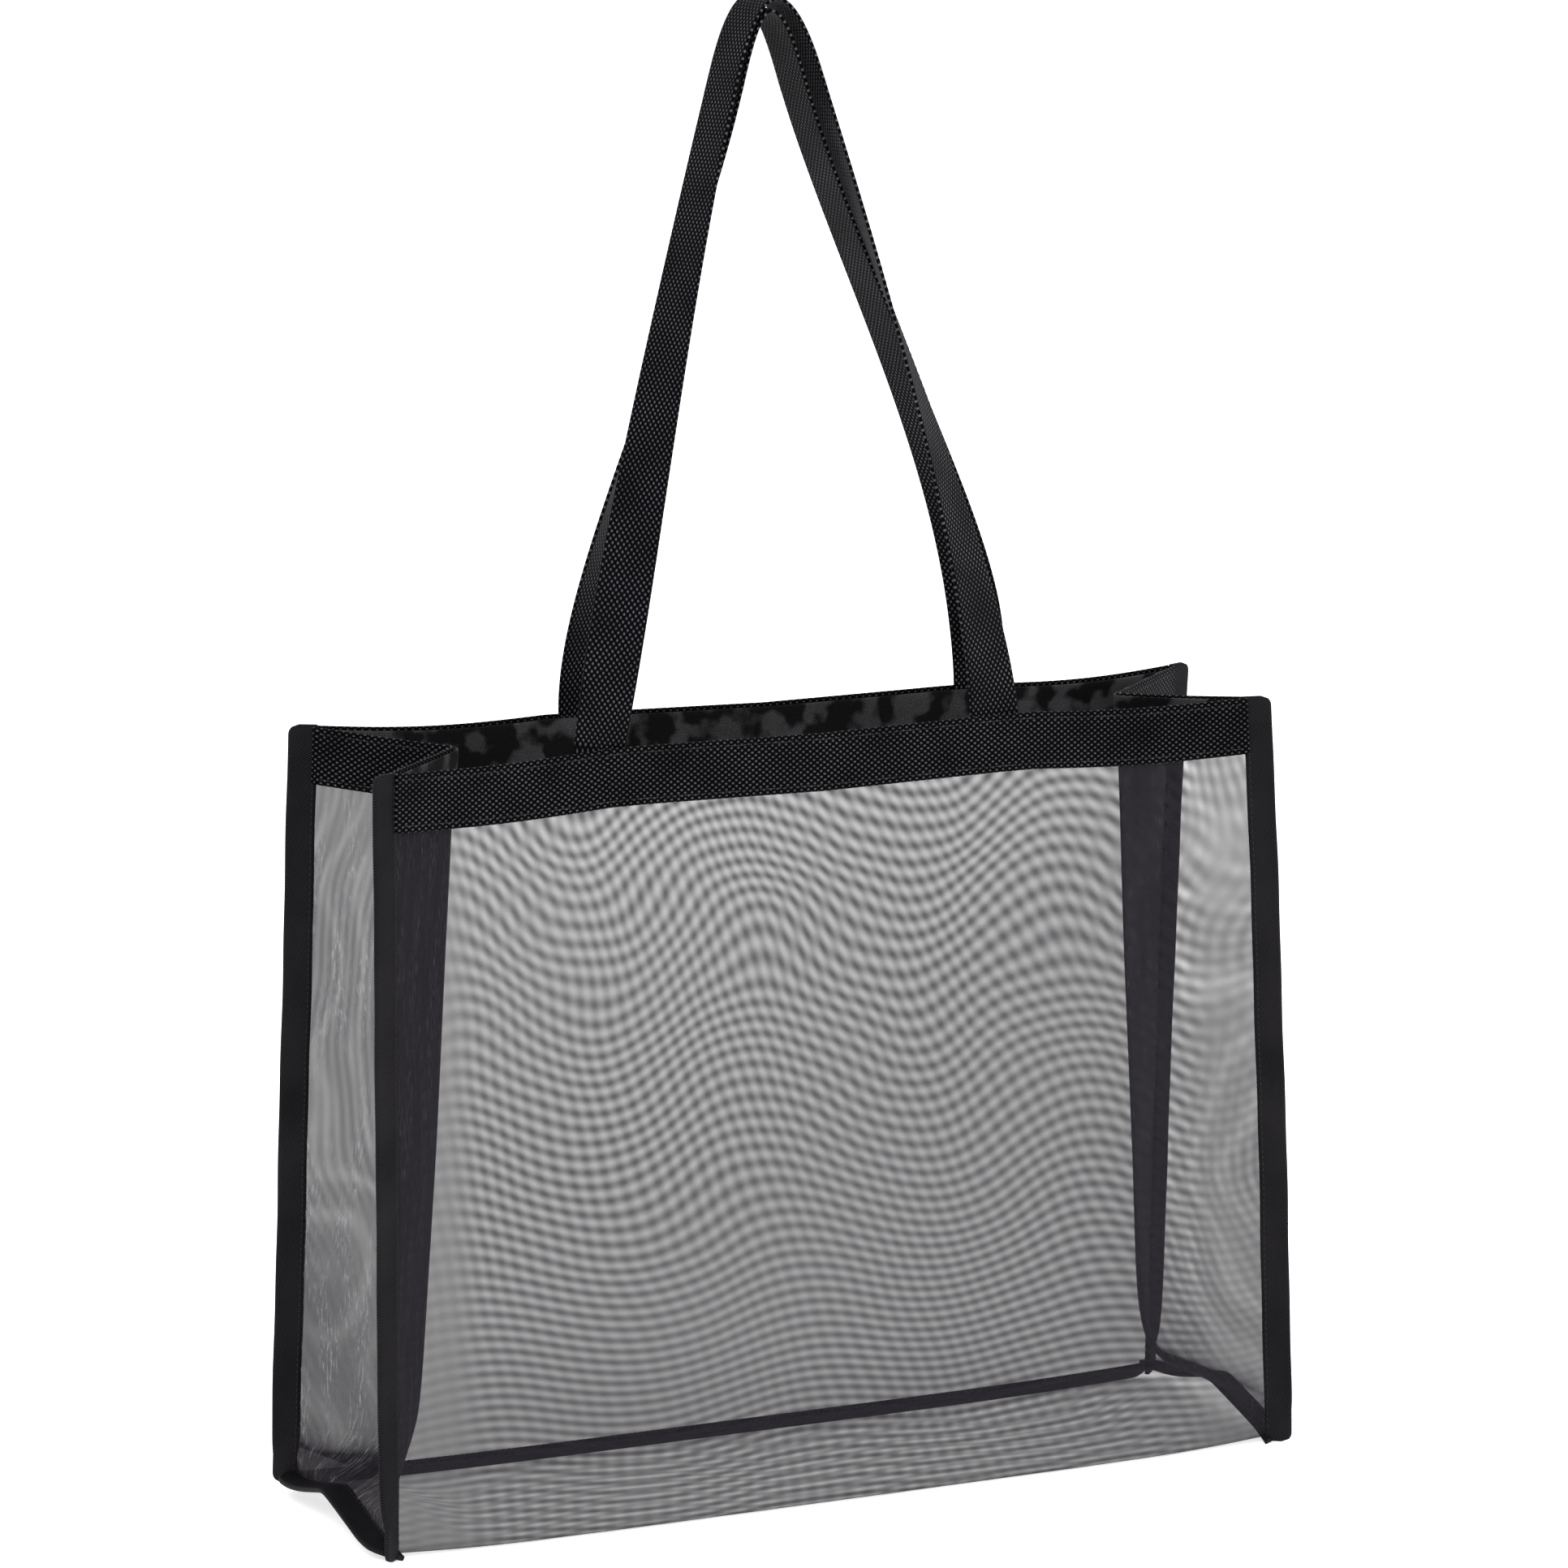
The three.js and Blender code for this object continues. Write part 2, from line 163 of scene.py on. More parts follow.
def settle(points):
    """The small unevenness of the standing bag: its four top corners sit at their own heights
    and widths, the mouth dips between corners and handles, and it fades out up the handles."""
    x, y, z = points[..., 0], points[..., 1], points[..., 2]
    up = np.clip(z / MOUTH_Z, 0, 1) ** 2
    fade = up * (1 - smooth((z - MOUTH_Z) / (HANDLE_TOP - MOUTH_Z)))
    right = np.clip(0.5 + x / (2 * MOUTH_HALF_WIDTH), 0, 1)
    back = np.clip(0.5 + y / (2 * MOUTH_HALF_DEPTH), 0, 1)
    front_lift = (1 - right) * FRONT_CORNER_LIFT[0] + right * FRONT_CORNER_LIFT[1]
    back_lift = (1 - right) * BACK_CORNER_LIFT[0] + right * BACK_CORNER_LIFT[1]
    lift = (1 - back) * front_lift + back * back_lift
    shift = (1 - back) * right * FRONT_RIGHT_SHIFT + back * right * BACK_RIGHT_SHIFT
    middle = np.abs(np.clip(x / MOUTH_HALF_WIDTH, -1, 1))
    dip = -2.2 * np.sin(math.pi * np.clip((middle - 0.5) * 2, 0, 1)) - 1.6 * np.clip(1 - 2.4 * middle, 0, 1)
    out = points.copy()
    out[..., 0] += shift * fade
    out[..., 2] += (lift + dip) * fade
    return out


# --- Mesh helpers --------------------------------------------------------------------------


def make_mesh(name, points, faces, uv=None):
    mesh = bpy.data.meshes.new(name)
    mesh.vertices.add(len(points))
    mesh.vertices.foreach_set("co", (np.asarray(points, float) * MM).ravel())
    faces = np.asarray(faces, np.int32)
    width = faces.shape[1]
    mesh.loops.add(faces.size)
    mesh.loops.foreach_set("vertex_index", faces.ravel())
    mesh.polygons.add(len(faces))
    mesh.polygons.foreach_set("loop_start", np.arange(0, faces.size, width, dtype=np.int32))
    mesh.polygons.foreach_set("use_smooth", np.ones(len(faces), bool))
    if uv is not None:
        layer = mesh.uv_layers.new(name="cloth")
        layer.data.foreach_set("uv", (np.asarray(uv, float)[faces.ravel()] * MM).ravel())
    mesh.update()
    mesh.validate()
    piece = bpy.data.objects.new(name, mesh)
    bpy.context.scene.collection.objects.link(piece)
    return piece


def grid_faces(columns, rows, wrap=False):
    """Quads of a columns x rows grid of points numbered row by row; wrap closes each row."""
    across = columns if wrap else columns - 1
    i, j = np.meshgrid(np.arange(across), np.arange(rows - 1))
    i, j = i.ravel(), j.ravel()
    after = (i + 1) % columns
    low, high = j * columns, (j + 1) * columns
    return np.stack([low + i, low + after, high + after, high + i], -1)


def make_piece(piece, material, replaces=()):
    """Gives a piece of the bag itself its material, puts it on the bag's body and hides the CAD solids that
    it replaces.
    """
    piece.data.materials.append(material)
    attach(piece, "bag")
    if replaces:
        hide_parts(*replaces)


def unit(v):
    return v / np.linalg.norm(v, axis=-1, keepdims=True)


def run_lengths(points):
    steps = np.linalg.norm(np.diff(points, axis=0), axis=1)
    return np.concatenate([[0], np.cumsum(steps)])


def resample(points, step, *others):
    """Even points along a line, with the other per-point values carried along."""
    length = run_lengths(points)
    count = max(2, int(round(length[-1] / step)) + 1)
    at = np.linspace(0, length[-1], count)
    carried = [points, *others]
    return [np.stack([np.interp(at, length, v[:, k]) for k in range(v.shape[1])], -1) for v in carried]


def strap(name, middle, across, width, thickness, columns, relief=None, edge=0.7, nose=0.0):
    """A flat woven strap along a line, with rounded edges: across is its unit width direction.
    relief(along, over) lifts the two faces, in mm, and nose rounds off the outer corner of
    both ends with that radius."""
    along_direction = unit(np.gradient(middle, axis=0))
    across = unit(across - along_direction * np.sum(across * along_direction, -1, keepdims=True))
    normal = np.cross(along_direction, across)
    length = run_lengths(middle)
    flat = np.linspace(-1, 1, columns) * (width / 2 - edge)
    turn = np.linspace(-math.pi / 2, math.pi / 2, 5)[1:-1]
    half = thickness / 2
    outline = [(a, half, 1.0) for a in flat]
    outline += [(width / 2 - edge + edge * math.cos(t), -half * math.sin(t), 0.0) for t in turn]
    outline += [(a, -half, 1.0) for a in flat[::-1]]
    outline += [(-(width / 2 - edge) - edge * math.cos(t), half * math.sin(t), 0.0) for t in turn]
    outline = np.array(outline)
    over, deep, on_face = outline.T
    lift = np.zeros((len(middle), len(outline)))
    if relief is not None:
        lift = relief(length[:, None], over[None, :]) * on_face * np.sign(deep)
    placed = np.broadcast_to(over, lift.shape)
    if nose:
        to_end = np.minimum(length, length[-1] - length)
        cut = nose - np.sqrt(nose**2 - np.maximum(0, nose - to_end) ** 2)
        placed = over - cut[:, None] * (over + width / 2) / width
    points = (
        middle[:, None]
        + across[:, None] * placed[..., None]
        + normal[:, None] * (deep[None, :] + lift)[..., None]
    )
    count = len(outline)
    faces = grid_faces(count, len(middle), wrap=True)[:, ::-1]
    uv = np.stack(np.broadcast_arrays(length[:, None], over[None, :] + width / 2), -1)
    points, uv = points.reshape(-1, 3), uv.reshape(-1, 2)
    last = (len(middle) - 1) * count
    ring = np.arange(count)
    caps = []
    for first, flip in ((0, False), (last, True)):
        end = first + ring
        for k in range(count // 2 - 1):
            quad = [end[k], end[k + 1], end[count - 2 - k], end[count - 1 - k]]
            caps.append(quad[::-1] if flip else quad)
    return make_mesh(name, points, np.concatenate([faces, np.array(caps)]), uv)


def stitches(name, line, normal, pitch=3.0, length=2.3, radius=0.28):
    """A row of sewing stitches lying on a surface: one closed bead for each stitch."""
    even, up = resample(line, pitch, normal)
    middle = (even[1:] + even[:-1]) / 2
    direction = unit(even[1:] - even[:-1])
    up = unit(up[1:] + up[:-1])
    side = np.cross(direction, up)
    rings = [(-0.5, 0.15, -0.4), (-0.3, 0.9, 0.25), (0.0, 1.0, 0.45), (0.3, 0.9, 0.25), (0.5, 0.15, -0.4)]
    sides = 6
    angle = np.arange(sides) * 2 * math.pi / sides
    points = []
    for place, swell, rise in rings:
        centre = middle + direction * place * length + up * rise * radius
        ring = (
            centre[:, None]
            + side[:, None] * (np.cos(angle) * radius * swell)[None, :, None]
            + up[:, None] * (np.sin(angle) * radius * swell)[None, :, None]
        )
        points.append(ring)
    points = np.stack(points, 1).reshape(-1, 3)
    per = len(rings) * sides
    body = grid_faces(sides, len(rings), wrap=True)
    cap = [[0, 1, 2, 3], [0, 3, 4, 5]]
    last = (len(rings) - 1) * sides
    cap += [[last + 3, last + 2, last + 1, last], [last + 5, last + 4, last + 3, last]]
    one = np.concatenate([body, np.array(cap)[:, ::-1]])
    faces = (one[None] + np.arange(len(middle))[:, None, None] * per).reshape(-1, 4)
    return make_mesh(name, points, faces[:, ::-1])


# --- Materials -----------------------------------------------------------------------------


class Shader:
    """A small helper that adds nodes to one material and joins them."""

    def __init__(self, name):
        self.material = bpy.data.materials.new(name)
        self.material.use_nodes = True
        self.tree = self.material.node_tree
        self.tree.nodes.clear()
        self.out = self.add("ShaderNodeOutputMaterial")

    def add(self, kind, **settings):
        node = self.tree.nodes.new(kind)
        for key, value in settings.items():
            setattr(node, key, value)
        return node

    def link(self, source, target):
        if isinstance(source, (int, float)):
            target.default_value = source
        elif isinstance(source, tuple):
            target.default_value = source
        else:
            self.tree.links.new(source, target)

    def math(self, operation, first, second=0.0, clamp=False):
        node = self.add("ShaderNodeMath", operation=operation, use_clamp=clamp)
        self.link(first, node.inputs[0])
        self.link(second, node.inputs[1])
        return node.outputs[0]

    def sum(self, *terms):
        total = terms[0]
        for term in terms[1:]:
            total = self.math("ADD", total, term)
        return total

    def times(self, first, second):
        return self.math("MULTIPLY", first, second)

    def wave(self, phase):
        """A cosine of a phase that is counted in whole turns."""
        return self.math("COSINE", self.times(phase, 2 * math.pi))

    def cloth(self):
        node = self.add("ShaderNodeUVMap", uv_map="cloth")
        split = self.add("ShaderNodeSeparateXYZ")
        self.link(node.outputs[0], split.inputs[0])
        return node.outputs[0], split.outputs[0], split.outputs[1]

    def place(self):
        node = self.add("ShaderNodeTexCoord")
        return node.outputs["Object"]

    def noise(self, vector, scale, detail=2.0, seed=0.0, roughness=0.5):
        node = self.add("ShaderNodeTexNoise", noise_dimensions="4D")
        self.link(vector, node.inputs["Vector"])
        node.inputs["W"].default_value = seed
        node.inputs["Scale"].default_value = scale
        node.inputs["Detail"].default_value = detail
        node.inputs["Roughness"].default_value = roughness
        return node.outputs["Fac"]

    def ramp(self, value, low, high, to_low=0.0, to_high=1.0):
        node = self.add("ShaderNodeMapRange")
        self.link(value, node.inputs[0])
        for index, number in enumerate((low, high, to_low, to_high), 1):
            self.link(number, node.inputs[index])
        return node.outputs[0]

    def blend_colour(self, factor, dark, light):
        node = self.add("ShaderNodeMix", data_type="RGBA")
        self.link(factor, node.inputs[0])
        node.inputs[6].default_value = (*dark, 1)
        node.inputs[7].default_value = (*light, 1)
        return node.outputs[2]

    def bump(self, height, distance, strength=1.0):
        node = self.add("ShaderNodeBump")
        node.inputs["Strength"].default_value = strength
        node.inputs["Distance"].default_value = distance
        self.link(height, node.inputs["Height"])
        return node.outputs[0]

    def surface(self, colour, roughness, normal, sheen=0.0, specular=0.1):
        shader = self.add("ShaderNodeBsdfPrincipled")
        self.link(colour, shader.inputs["Base Color"])
        self.link(roughness, shader.inputs["Roughness"])
        self.link(normal, shader.inputs["Normal"])
        shader.inputs["Sheen Weight"].default_value = sheen
        shader.inputs["Sheen Roughness"].default_value = 0.4
        shader.inputs["Sheen Tint"].default_value = (0.6, 0.6, 0.65, 1)
        shader.inputs["Specular IOR Level"].default_value = specular
        self.link(shader.outputs[0], self.out.inputs[0])
        return shader


# the net's thread pitch and the height of one fringe of its beat, in metres
THREAD_PITCH = 0.00042
BEAT = 0.0085


def see_through(s, cover, least):
    """Share of light the net lets by. Its threads cover more as it turns edge on, as tinted
    glass does; least is the smallest cosine of the turn that counts."""
    facing = s.add("ShaderNodeLayerWeight")
    facing.inputs["Blend"].default_value = 0.5
    square_on = s.math("SUBTRACT", 1.0, facing.outputs["Facing"])
    solid = s.math("DIVIDE", cover, s.math("MAXIMUM", square_on, least))
    return s.math("SUBTRACT", 1.0, solid, clamp=True)


def net_surface(s, clear, cloth, seed, painted_glint=0.0):
    fibre = s.noise(cloth, 900.0, 2.0, seed)
    stretched = s.add("ShaderNodeMapping")
    stretched.inputs["Scale"].default_value = (1.0, 0.16, 1.0)
    s.link(cloth, stretched.inputs[0])
    streaks = s.noise(stretched.outputs[0], 900.0, 3.0, seed + 1.0, 0.7)
    where = s.noise(stretched.outputs[0], 110.0, 2.0, seed + 2.0)
    # painted glints: bright streaks that stand in for light reflected off the threads, mixed into the net's
    # colour with its fibre tone
    painted_glint_streaks = s.times(s.ramp(streaks, 0.50, 0.68), s.ramp(where, 0.42, 0.62))
    light = s.math("ADD", s.times(fibre, 0.10), s.times(painted_glint_streaks, painted_glint), clamp=True)
    colour = s.blend_colour(light, (0.0055, 0.004, 0.0065), (0.17, 0.16, 0.18))
    shader = s.surface(colour, 0.6, s.bump(fibre, 0.00008), specular=0.03)
    s.link(s.math("SUBTRACT", 1.0, clear, clamp=True), shader.inputs["Alpha"])


def fine_threads(s, u, v):
    return s.math("ADD", s.wave(s.times(u, 1 / THREAD_PITCH)), s.wave(s.times(v, 1 / THREAD_PITCH)))


def front_net_material():
    """Net of the front and bottom, beating against the back panel behind it: two families of
    wavy fringes that cross in rows of soft dots and crowd together towards the bottom."""
    s = Shader("net_front")
    cloth, u, v = s.cloth()
    bottom = s.ramp(v, -0.004, 0.002, 1.0, 0.0)
    height = s.times(v, 1 / (MOUTH_Z * MM))
    low = s.math("SUBTRACT", 1.0, height, clamp=True)
    drift = s.noise(cloth, 5.0, 1.5, 3.1)
    sway = s.math("COSINE", s.sum(s.times(u, 2 * math.pi / 0.162), 0.55, s.times(drift, 2.4)))
    reach = s.ramp(height, 0.0, 0.55, 0.25, 1.0)
    climb = s.times(s.times(sway, reach), -2.1)
    crowd = s.times(s.math("POWER", low, 2.6), 17.0)
    swirl = s.times(s.noise(cloth, 11.0, 1.0, 4.7), s.ramp(height, 0.35, 1.0, 0.8, 9.0))
    level = s.sum(s.times(v, -1 / BEAT), climb, s.times(drift, 5.0), crowd, swirl)
    slant = s.ramp(u, 0.0, 0.30, 0.35, 0.75)
    wander = s.noise(cloth, 6.5, 1.5, 8.2)
    crossing = s.sum(
        s.times(u, 0.95 / BEAT), s.times(s.times(v, slant), 1 / BEAT), s.times(wander, 5.5),
        s.times(crowd, 0.35), s.times(swirl, -0.6))
    rows = s.math("MULTIPLY", s.wave(level), s.ramp(wander, 0.3, 0.7, 0.34, 0.46))
    dots = s.math("MULTIPLY", s.wave(crossing), s.ramp(drift, 0.35, 0.65, 0.08, 0.26))
    faint = s.times(fine_threads(s, u, v), 0.03)
    # the net is clearer towards the mouth and on the bottom cloth
    grade = s.sum(0.775, s.times(s.math("POWER", height, 3.0), 0.53), s.times(bottom, 0.62))
    # the fringes need the back panel behind them, so they fade out in front of the gussets
    from_side = s.math("MINIMUM", u, s.math("SUBTRACT", 2 * BASE_HALF_WIDTH * MM, u))
    calm = s.times(s.ramp(bottom, 0.0, 1.0, 1.0, 0.45), s.ramp(from_side, 0.030, 0.046, 0.25, 1.0))
    swing = s.times(s.sum(1.0, s.times(s.sum(rows, dots), calm), faint), grade)
    net_surface(s, s.times(see_through(s, 0.55, s.sum(0.8, s.times(bottom, 0.32))), swing), cloth, 1.0)
    return s.material


def back_net_material():
    s = Shader("net_back")
    cloth, u, v = s.cloth()
    clear = s.times(see_through(s, 0.53, 0.8), s.sum(1.0, s.times(fine_threads(s, u, v), 0.03)))
    net_surface(s, clear, cloth, 5.0)
    return s.material


def side_net_material(name, cover, seed):
    """Net of a gusset, with thin bright wavy lines that wind up it like smoke."""
    s = Shader(name)
    cloth, u, v = s.cloth()
    drift = s.noise(cloth, 11.0, 1.0, seed)
    slow = s.noise(cloth, 5.0, 0.0, seed + 3.0)
    winding = s.sum(s.times(u, 1 / 0.034), s.times(drift, 7.0), s.times(slow, 6.0))
    crest = s.math("POWER", s.ramp(s.wave(winding), -1.0, 1.0), 3.0)
    strength = s.ramp(s.noise(cloth, 14.0, 1.0, seed + 6.0), 0.35, 0.65, 0.2, 1.0)
    low = s.math("POWER", s.ramp(v, 0.0, 0.16, 1.0, 0.0), 2.0)
    flow = s.sum(s.times(u, 1 / 0.0058), s.times(slow, 16.0), s.times(drift, 7.0), s.times(low, 9.0))
    flow_strength = s.ramp(s.noise(cloth, 13.0, 1.0, seed + 8.0), 0.42, 0.62, 0.04, 0.17)
    lines = s.sum(s.times(crest, 0.42), -0.12)
    swing = s.sum(
        1.0, s.times(lines, strength), s.times(s.wave(flow), flow_strength),
        s.times(fine_threads(s, u, v), 0.03))
    hem = s.ramp(v, 0.022, 0.042, 0.6, 0.0)
    clear = see_through(s, cover, s.sum(0.02, s.times(hem, 1.1)))
    # the gusset nets carry painted glints: bright streaks painted into their colour
    net_surface(s, s.times(clear, swing), cloth, seed, painted_glint=1.0)
    return s.material


# pitches of the webbing's yarns along and across it, in metres, and their lift in mm
ROW_PITCH = 0.0035
YARN_PITCH = 0.0027
RIB_RELIEF = 0.17


def webbing_material(name, dark, bright, specular):
    """Ribbed webbing: the relief of its yarns is in the mesh; their fibres are here, with painted highlights
    on the yarn tops and broad painted patches of light and shade.
    """
    s = Shader(name)
    cloth, u, v = s.cloth()
    rib = s.times(s.wave(s.times(u, 1 / ROW_PITCH)), s.wave(s.times(v, 1 / YARN_PITCH)))
    lift = s.math("POWER", s.ramp(rib, 0.0, 0.9), 1.8)
    fibre = s.noise(cloth, 2600.0, 3.0, 1.0, 0.65)
    # painted light and shade: broad patches where the yarn highlights are stronger or weaker
    painted_light_and_shade_patches = s.noise(cloth, 38.0, 3.0, 4.0)
    # painted highlight: the colour is lighter on the tops of the yarns and glints with the fibres
    painted_rib_highlight = s.times(lift, s.ramp(fibre, 0.35, 0.65, 0.3, 1.6))
    light = s.math("MULTIPLY", painted_rib_highlight, s.ramp(painted_light_and_shade_patches, 0.3, 0.7, 0.35, 1.0), clamp=True)
    colour = s.blend_colour(light, dark, bright)
    rough = s.ramp(fibre, 0.3, 0.7, 0.42, 0.62)
    height = s.sum(lift, s.times(fibre, 0.25))
    s.surface(colour, rough, s.bump(height, 0.00022, 0.7), sheen=0.01, specular=specular)
    return s.material


def twill_material(name, pitch, slope, dark, light, seed, blotches=0.0):
    """Fine twill: diagonal lines across the tape or facing, with fibres and lighter and darker patches;
    blotches adds hard-edged dark patches and painted glints on the fibres.
    """
    s = Shader(name)
    cloth, u, v = s.cloth()
    wander = s.times(s.noise(cloth, 160.0, 2.0, seed), 0.5)
    line = s.wave(s.sum(s.times(u, 1 / pitch), s.times(v, slope / pitch), wander))
    fibre = s.noise(cloth, 2400.0, 3.0, seed + 1.0, 0.65)
    patch = s.noise(cloth, 28.0, 3.0, seed + 2.0)
    light_share = s.sum(
        s.ramp(line, -0.6, 1.0, 0.0, 0.6), s.times(fibre, 0.3), s.ramp(patch, 0.3, 0.7, -0.15, 0.2))
    if blotches:
        mottle = s.noise(cloth, 52.0, 2.5, seed + 5.0)
        # painted glints: single fibres of the cloth painted brighter
        painted_fibre_glints = s.ramp(fibre, 0.45, 0.65, 0.6, 1.9)
        patches = s.ramp(mottle, 0.47, 0.54, 1 - blotches, 1.0)
        light_share = s.times(s.times(light_share, painted_fibre_glints), patches)
    colour = s.blend_colour(s.math("MAXIMUM", light_share, 0.0, clamp=True), dark, light)
    height = s.sum(line, s.times(fibre, 0.5))
    rough = s.ramp(fibre, 0.3, 0.7, 0.5, 0.7)
    s.surface(colour, rough, s.bump(height, 0.00012, 0.8), specular=0.05)
    return s.material


def thread_material():
    s = Shader("thread")
    place = s.place()
    twist = s.noise(place, 3000.0, 2.0, 3.0)
    colour = s.blend_colour(twist, (0.003, 0.003, 0.004), (0.028, 0.028, 0.032))
    s.surface(colour, s.ramp(twist, 0.3, 0.7, 0.4, 0.6), s.bump(twist, 0.00006), specular=0.1)
    return s.material


NET_FRONT = front_net_material()
NET_BACK = back_net_material()
NET_SIDE = {
    -1: side_net_material("net_left", 0.66, 9.0),
    1: side_net_material("net_right", 0.53, 21.0),
}
# the lighter colour of both webbings is the painted highlight on the yarn tops; the band is the same webbing
# as the handles, painted a little darker as shade
STRAP = webbing_material("handle_webbing", (0.0005, 0.0005, 0.0008), (0.100, 0.097, 0.112), 0.02)
BAND = webbing_material("band_webbing", (0.0004, 0.0004, 0.0006), (0.090, 0.087, 0.098), 0.015)
BINDING = twill_material(
    "binding_tape", 0.00125, 0.62, (0.0003, 0.0003, 0.0004), (0.017, 0.0155, 0.018), 2.0)
FACING = twill_material(
    "facing_twill", 0.0009, 0.8, (0.0008, 0.0008, 0.001), (0.085, 0.083, 0.088), 6.0, blotches=0.93)
THREAD = thread_material()


def weave(along, over):
    """Staggered rounded yarns of the webbing."""
    rows = np.cos(2 * math.pi * along * MM / ROW_PITCH)
    yarns = np.cos(2 * math.pi * (over + WEBBING_WIDTH / 2) * MM / YARN_PITCH)
    return RIB_RELIEF * np.maximum(rows * yarns, -0.3)


# --- Net panels ----------------------------------------------------------------------------

NET_STEP = 3.0
PANEL_TOP = MOUTH_Z - 1.5


def front_bottom_net():
    """One cloth from the back seam, under the bag, round the front fold and up to the hem."""
    columns = int(2 * BASE_HALF_WIDTH / NET_STEP)
    share = np.linspace(-1, 1, columns)
    x0 = share * BASE_HALF_WIDTH
    front = -wall_distance(-1, x0, FOLD_RADIUS + 0 * x0) + FOLD_RADIUS
    back = wall_distance(1, x0, BACK_SEAM + 0 * x0)
    rows = []
    for t in np.linspace(0, 1, int(2 * BASE_HALF_DEPTH / NET_STEP)):
        y = back + (front - back) * t
        rows.append(np.stack([x0, y, bottom_height(x0, y)], -1))
    start = bottom_height(x0, front)
    for angle in np.linspace(0, math.pi / 2, 6)[1:]:
        z = start + FOLD_RADIUS * (1 - math.cos(angle))
        rows.append(np.stack([x0, front - FOLD_RADIUS * math.sin(angle), z], -1))
    for t in np.linspace(0, 1, int(MOUTH_Z / NET_STEP))[1:]:
        z = start + FOLD_RADIUS + (PANEL_TOP - start - FOLD_RADIUS) * t
        x = share * half_width(z)
        rows.append(np.stack([x, -wall_distance(-1, x, z), z], -1))
    points = settle(np.stack(rows))
    length = run_lengths(points[:, columns // 2])
    length = length - length[-1] + PANEL_TOP
    uv = np.stack(np.broadcast_arrays(points[..., 0] + BASE_HALF_WIDTH, length[:, None]), -1)
    faces = grid_faces(columns, len(rows))
    piece = make_mesh("front_bottom_net", points.reshape(-1, 3), faces, uv.reshape(-1, 2))
    make_piece(piece, NET_FRONT, replaces=["front_bottom_panel"])


def back_net():
    """The back panel, from its seam with the bottom up to the hem."""
    columns = int(2 * BASE_HALF_WIDTH / NET_STEP)
    share = np.linspace(1, -1, columns)
    rows = []
    for t in np.linspace(0, 1, int(MOUTH_Z / NET_STEP)):
        z = BACK_SEAM + (PANEL_TOP - BACK_SEAM) * t + 0 * share
        x = share * half_width(z)
        rows.append(np.stack([x, wall_distance(1, x, z), z], -1))
    points = settle(np.stack(rows))
    uv = np.stack([points[..., 0] + BASE_HALF_WIDTH, points[..., 2]], -1)
    faces = grid_faces(columns, len(rows))
    piece = make_mesh("back_net", points.reshape(-1, 3), faces, uv.reshape(-1, 2))
    make_piece(piece, NET_BACK, replaces=["back_panel"])


def gusset_net(side, name):
    """A side panel, creased inwards along its middle."""
    columns = 48
    share = np.linspace(-1, 1, columns) * (1 if side > 0 else -1)
    seam = bottom_height(BASE_HALF_WIDTH, share * BASE_HALF_DEPTH)
    rows = []
    for t in np.linspace(0, 1, int(MOUTH_Z / NET_STEP)):
        z = seam + (PANEL_TOP - seam) * t
        rows.append(gusset_points(side, share, z))
    points = settle(np.stack(rows))
    uv = np.stack(np.broadcast_arrays(share * GUSSET_HALF + GUSSET_HALF, points[..., 2]), -1)
    faces = grid_faces(columns, len(rows))
    piece = make_mesh(f"{name}_gusset_net", points.reshape(-1, 3), faces, uv.reshape(-1, 2))
    make_piece(piece, NET_SIDE[side], replaces=[f"{name}_gusset"])


# --- Webbing band, facing and their stitching -------------------------------------------------

BAND_OUT = 1.7
BAND_STEP = 0.55
BAND_END_GAP = 0.4
WALL_FACING_IN = 3.4
GUSSET_FACING_IN = 1.4
FACING_THICKNESS = 0.9
FACING_DROP = 0.8
FACING_END_GAP = 6.0
HEM_STITCH_INSET = 3.0
HEM_STITCH_END_GAP = 4.0
SIDES = ((-1, "left"), (1, "right"))
WALLS = ((-1, "front"), (1, "back"))


def wall_line(side, height, outward, end_gap, step):
    """Points along the mouth wall at a height, moved off the cloth, and its two directions."""
    reach = MOUTH_HALF_WIDTH - end_gap
    x = np.linspace(-reach, reach, int(2 * reach / step)) * -side
    z = np.full_like(x, height)

    def cloth(at_x, at_z):
        return settle(np.stack([at_x, side * wall_distance(side, at_x, at_z), at_z], -1))

    upward = unit(cloth(x, z + 2) - cloth(x, z - 2))
    along = unit(cloth(x + 1, z) - cloth(x - 1, z))
    out = unit(np.cross(along, upward)) * -side
    out *= np.sign(np.sum(out * np.array([0, side, 0]), -1, keepdims=True))
    return cloth(x, z) + out * outward, upward, out


def gusset_line(side, height, outward, end_gap, step):
    """The same along the mouth edge of a gusset, round its crease."""
    reach = 1 - end_gap / GUSSET_HALF
    across = np.linspace(-reach, reach, int(2 * GUSSET_HALF * reach / step)) * (1 if side > 0 else -1)
    z = np.full_like(across, height)

    def cloth(at_z):
        return settle(gusset_points(side, across, at_z, outward))

    line = cloth(z)
    upward = unit(cloth(z + 2) - cloth(z - 2))
    along = unit(np.gradient(line, axis=0))
    out = np.cross(along, upward)
    out = out * np.sign(out[..., :1] * side + 1e-9)
    return line, upward, out


def mouth_strip(piece_name, line_maker, side, height, width, thickness, outward, end_gap, woven):
    """A strip along one side of the mouth: webbing where it is woven, otherwise thin cloth."""
    step = BAND_STEP if woven else 2.0
    middle, upward, _ = line_maker(side, height, outward, end_gap, step)
    columns = 46 if woven else 14
    relief = weave if woven else None
    edge = 0.7 if woven else 0.45
    return strap(piece_name, middle, upward, width, thickness, columns, relief, edge)


# how each kind of hem is made: its line, its sides, how deep the facing lies and how long it is
HEMS = (
    (wall_line, WALLS, WALL_FACING_IN, 0.446),
    (gusset_line, SIDES, GUSSET_FACING_IN, 0.130),
)


